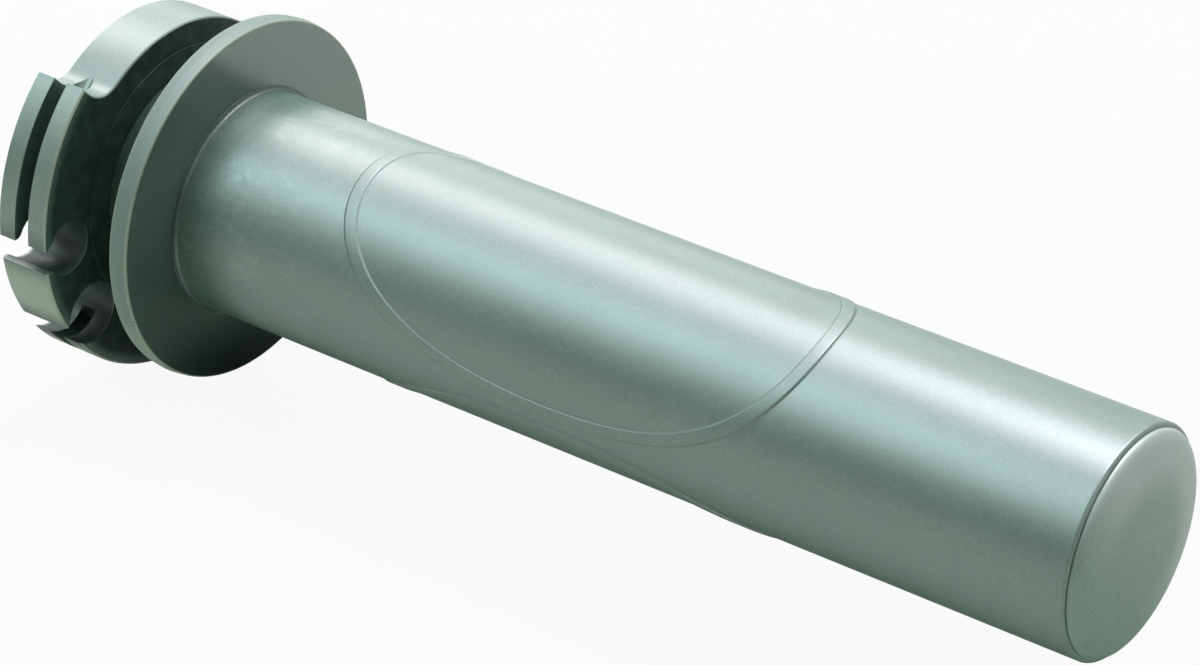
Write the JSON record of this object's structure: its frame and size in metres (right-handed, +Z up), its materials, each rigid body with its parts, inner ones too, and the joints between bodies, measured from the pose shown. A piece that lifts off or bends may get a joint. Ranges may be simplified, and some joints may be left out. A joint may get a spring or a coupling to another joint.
{
  "type": "throttle grip",
  "caption": "Twist throttle tube for a 22 mm handlebar, with a grooved reel for two cables, a stop flange, raised oval borders and a pull-out end cap.",
  "frame": {"origin": "centre of the handlebar bore at the reel's inboard face", "axes": "+X along the handlebar towards the closed outboard end, +Y forward, +Z up with the throttle closed"},
  "size_m": [0.1337, 0.046, 0.0442],
  "materials": {
    "tube": "satin grey-green moulding, fine grain",
    "flange": "satin grey-green moulding",
    "reel": "satin grey-green moulding, smoother in the grooves",
    "cap": "satin grey-green moulding"
  },
  "bodies": {
    "grip": {"grip_tube": "tube", "stop_flange": "flange", "cable_reel": "reel"},
    "end_cap": {"end_cap": "cap"}
  },
  "joints": [
    {"name": "cap_pull", "type": "slide", "parent": "grip", "child": "end_cap", "axis": [1, 0, 0], "range_m": [0, 0.02]}
  ]
}
